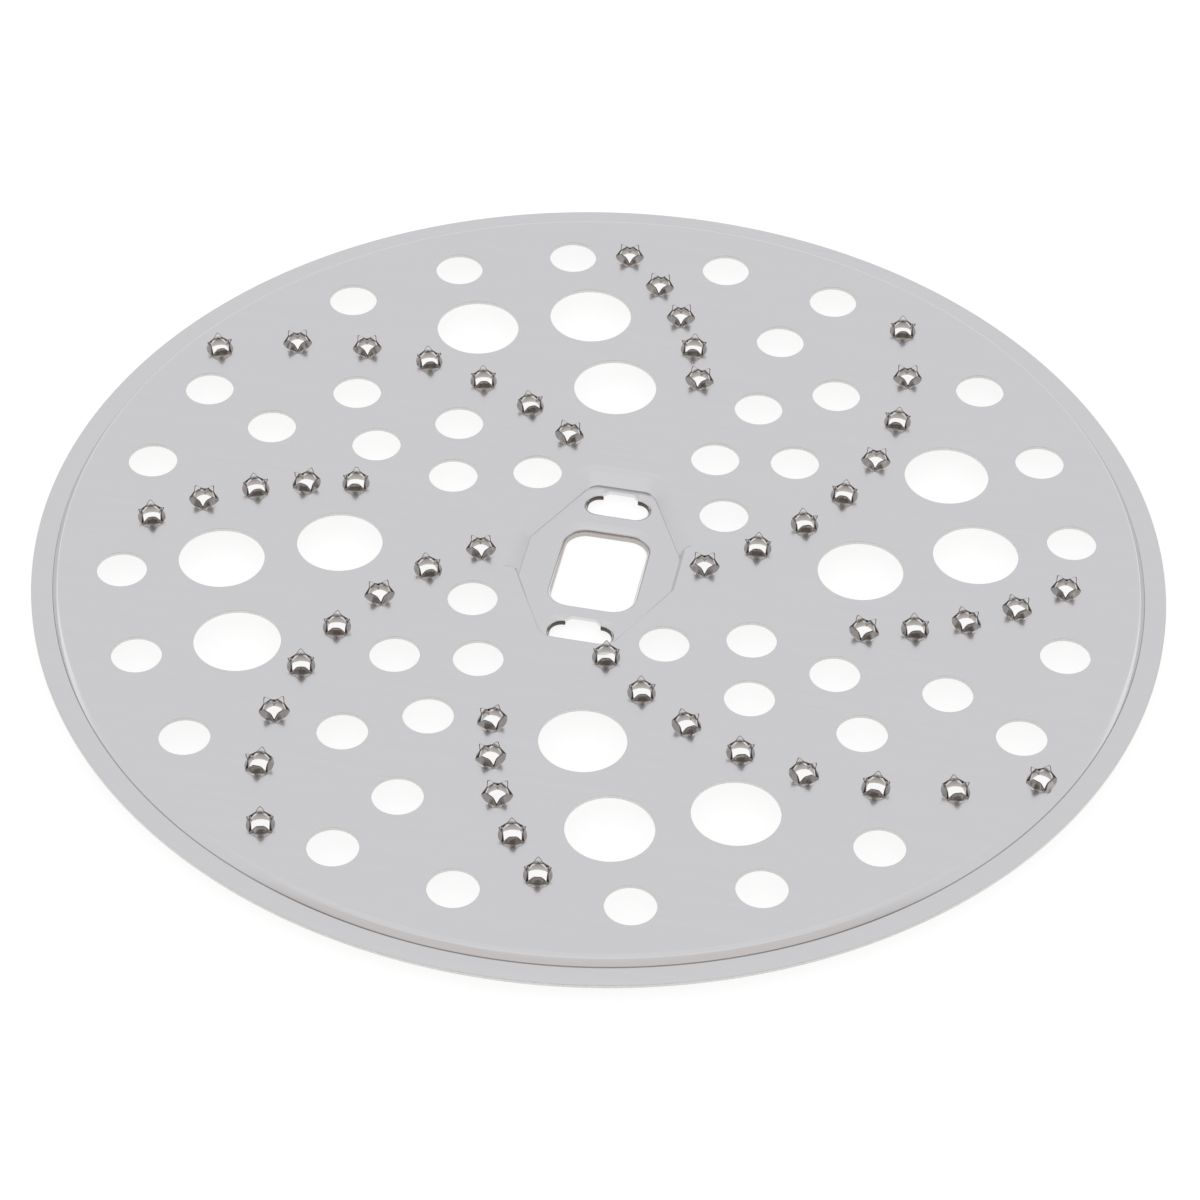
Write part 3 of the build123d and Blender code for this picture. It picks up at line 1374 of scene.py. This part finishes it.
FINISHES: dict[Face, RolledSteel | PiercedBore] = {
    Face.ROLLED: RolledSteel(),
    Face.CUT: CutEdge(),
    # Painted shade: the teeth's torn edges and the catch slots' walls are near black, standing in for shade and
    # dark reflections.
    Face.TORN: CutEdge("torn_edge_painted_shade", (0.14, 0.12, 0.105), roughness=0.45),
    # Painted shade: the drive opening's wall is darker, standing in for the shadowed floor it reflects.
    Face.DRAWN: CutEdge("drawn_wall_painted_shade", (0.5, 0.47, 0.445), roughness=0.25),
    Face.BORE: PiercedBore(),
    Face.PRESSED: RolledSteel("pressed_stainless", roughness=0.14),
    # Painted shade: the ears' outer sides are darker than the pressed sheet, standing in for shade and dark
    # reflections.
    Face.EAR: RolledSteel("bent_ears_painted_shade", (0.42, 0.395, 0.375), roughness=0.16),
    # Painted shade: a dark line at the rim step's crease and on the drive opening's rolled edge.
    Face.CREASE: CutEdge("crease", (0.43, 0.41, 0.395), roughness=0.25),
}


@dataclass
class GratingDisc:
    """The whole disc: the perforated plate, its rim, its teeth and its hub pocket.

    Args:
        levels: Levels of the sheet.
        name: Name of the piece.
    """

    levels: SheetLevels = field(default_factory=SheetLevels)
    name: str = "stamped_disc"

    def build(self) -> bpy.types.Object:
        """Model the sheet.

        Returns:
            The finished piece.
        """
        low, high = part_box(NODE)
        radius = (high.x - low.x) / MM / 2
        rim = SteppedRim(self.levels, radius)
        holes = RoundHoles(self.levels, radius)
        teeth = ToothRows(self.levels, holes, rim.tight_radius)
        outermost = rim.tight_radius - teeth.tooth.outer[0][0]
        rim.tight_bearings = [degrees(atan2(y, x)) for x, y, _ in teeth.places() if hypot(x, y) > outermost]
        sheet = SheetMesh()
        upper, lower = [], []
        for feature in (rim, holes, teeth, HubPocket(self.levels, teeth)):
            above, below = feature.add(sheet)
            upper += above
            lower += below
        sheet.fill(upper)
        sheet.fill(lower)
        return sheet.finish(self.name)

    def dress(self, piece: bpy.types.Object) -> None:
        """Give the piece its finishes and its place on the part.

        Args:
            piece: The modelled sheet.
        """
        for kind in Face:
            piece.data.materials.append(FINISHES[kind].material())
        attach(piece, "root")
        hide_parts(NODE)


@dataclass(frozen=True)
class PaleFloor:
    """A white floor that shows only the deepest part of a shadow.

    Args:
        name: Name of the material.
        glow: Strength of its own light in what the camera and the metal see.
        color: Its colour under the lamp.
    """

    name: str = "pale_floor"
    glow: float = 0.8
    color: Color = (0.3, 0.292, 0.285, 1.0)

    def material(self) -> bpy.types.Material:
        """Make the finish.

        Returns:
            The node material.
        """
        material = bpy.data.materials.new(self.name)
        material.use_nodes = True
        nodes, links = material.node_tree.nodes, material.node_tree.links
        nodes.clear()
        out = nodes.new("ShaderNodeOutputMaterial")
        paint = nodes.new("ShaderNodeBsdfDiffuse")
        paint.inputs["Color"].default_value = self.color
        glow = nodes.new("ShaderNodeEmission")
        glow.inputs["Strength"].default_value = self.glow
        lit = nodes.new("ShaderNodeAddShader")
        links.new(paint.outputs["BSDF"], lit.inputs[0])
        links.new(glow.outputs["Emission"], lit.inputs[1])
        choose = nodes.new("ShaderNodeMixShader")
        links.new(shown_rays(material.node_tree), choose.inputs["Fac"])
        links.new(paint.outputs["BSDF"], choose.inputs[1])
        links.new(lit.outputs["Shader"], choose.inputs[2])
        links.new(choose.outputs["Shader"], out.inputs["Surface"])
        return material


@dataclass(frozen=True)
class Surround:
    """A pale even surround whose front, on the camera's side, runs from bright above to dark at its foot.

    The spans are in parts of a direction of length 1.

    Args:
        name: Name of the world.
        even: Colour of all but the front.
        high: Colour of the front's upper part.
        middle: Colour of its middle.
        low: Colour of its foot.
        front_span: From the even part to the front, on the level axis away from the camera's side.
        middle_span: From the upper part down to the middle, on the Z axis.
        low_span: From the middle down to the foot, on the Z axis.
    """

    name: str = "surround"
    even: Color = (0.825, 0.825, 0.845, 1.0)
    high: Color = (0.9, 0.9, 0.915, 1.0)
    middle: Color = (0.75, 0.73, 0.715, 1.0)
    low: Color = (0.15, 0.124, 0.11, 1.0)
    front_span: Span = (-0.35, -0.65)
    middle_span: Span = (0.62, 0.46)
    low_span: Span = (0.36, 0.14)

    def world(self, azimuth: float) -> bpy.types.World:
        """Make the node world.

        Args:
            azimuth: Turn of the camera's side about the Z axis.

        Returns:
            The world.
        """
        world = bpy.data.worlds.new(self.name)
        world.use_nodes = True
        tree = world.node_tree
        place = tree.nodes.new("ShaderNodeTexCoord")
        turn = tree.nodes.new("ShaderNodeMapping")
        turn.vector_type = "TEXTURE"
        turn.inputs["Rotation"].default_value = (0.0, 0.0, radians(azimuth))
        tree.links.new(place.outputs["Generated"], turn.inputs["Vector"])
        axes = tree.nodes.new("ShaderNodeSeparateXYZ")
        tree.links.new(turn.outputs["Vector"], axes.inputs["Vector"])
        rise, ahead = axes.outputs["Z"], axes.outputs["Y"]
        upper = blend(tree, fade(tree, rise, self.middle_span, Change.SMOOTH), self.high, self.middle)
        front = blend(tree, fade(tree, rise, self.low_span, Change.SMOOTH), upper, self.low)
        whole = blend(tree, fade(tree, ahead, self.front_span, Change.SMOOTH), self.even, front)
        tree.links.new(whole, tree.nodes["Background"].inputs["Color"])
        return world


@dataclass
class Studio:
    """Floor, surround, overhead lamp and camera.

    Args:
        azimuth: Turn of the camera's side about the Z axis.
        elevation: Of the camera.
        distance: From the camera to what it aims at.
        aim: Where the camera aims.
        roll: Of the camera about its own axis.
        lens: Focal length.
        floor_size: Side of the floor.
        lamp_height: Of the lamp above the floor.
        lamp_size: Side of the lamp.
        lamp_power: Of the lamp, in watts.
    """

    azimuth: float = 10.58
    elevation: float = 43.19
    distance: float = 575.6
    aim: Triple = (1.68, -7.97, 3.35)
    roll: float = 1.43
    lens: float = 133.45
    floor_size: float = 6000.0
    lamp_height: float = 900.0
    lamp_size: float = 900.0
    lamp_power: float = 0.08

    def back(self) -> Vector:
        """Direction from the disc to the camera."""
        turn, rise = radians(self.azimuth), radians(self.elevation)
        return Vector((sin(turn) * cos(rise), -cos(turn) * cos(rise), sin(rise)))

    def floor(self) -> bpy.types.Object:
        """Lay the floor that the disc stands on.

        Returns:
            The floor.
        """
        mesh = bmesh.new()
        bmesh.ops.create_grid(mesh, x_segments=1, y_segments=1, size=self.floor_size / 2 * MM)
        data = bpy.data.meshes.new("floor")
        mesh.to_mesh(data)
        mesh.free()
        floor = bpy.data.objects.new("floor", data)
        bpy.context.scene.collection.objects.link(floor)
        data.materials.append(PaleFloor().material())
        return floor

    def light(self) -> None:
        """Light the disc from the surround and a soft lamp overhead."""
        bpy.context.scene.world = Surround().world(self.azimuth)
        lamp = bpy.data.lights.new("overhead", "AREA")
        lamp.size = self.lamp_size * MM
        lamp.energy = self.lamp_power
        overhead = bpy.data.objects.new("overhead", lamp)
        overhead.location = (0.0, 0.0, self.lamp_height * MM)
        bpy.context.scene.collection.objects.link(overhead)

    def camera(self) -> None:
        """Set the camera at the photograph's viewing angle."""
        data = bpy.data.cameras.new("camera")
        data.lens = self.lens
        camera = bpy.data.objects.new("camera", data)
        back = self.back()
        camera.location = (Vector(self.aim) + back * self.distance) * MM
        camera.rotation_mode = "QUATERNION"
        level = (-back).to_track_quat("-Z", "Y")
        camera.rotation_quaternion = level @ Quaternion((0.0, 0.0, 1.0), radians(self.roll))
        bpy.context.scene.collection.objects.link(camera)
        bpy.context.scene.camera = camera


def main() -> None:
    """Build the disc, then the studio around it, and report each piece."""
    logging.basicConfig(level=logging.INFO, format="%(name)s: %(message)s")
    bpy.context.scene.view_settings.view_transform = "Standard"
    disc = GratingDisc()
    piece = disc.build()
    disc.dress(piece)
    log.info("%s: rides on root and stands for %s", piece.name, NODE)
    studio = Studio()
    floor = studio.floor()
    log.info("%s: stage", floor.name)
    studio.light()
    studio.camera()


if __name__ == "__main__":
    main()
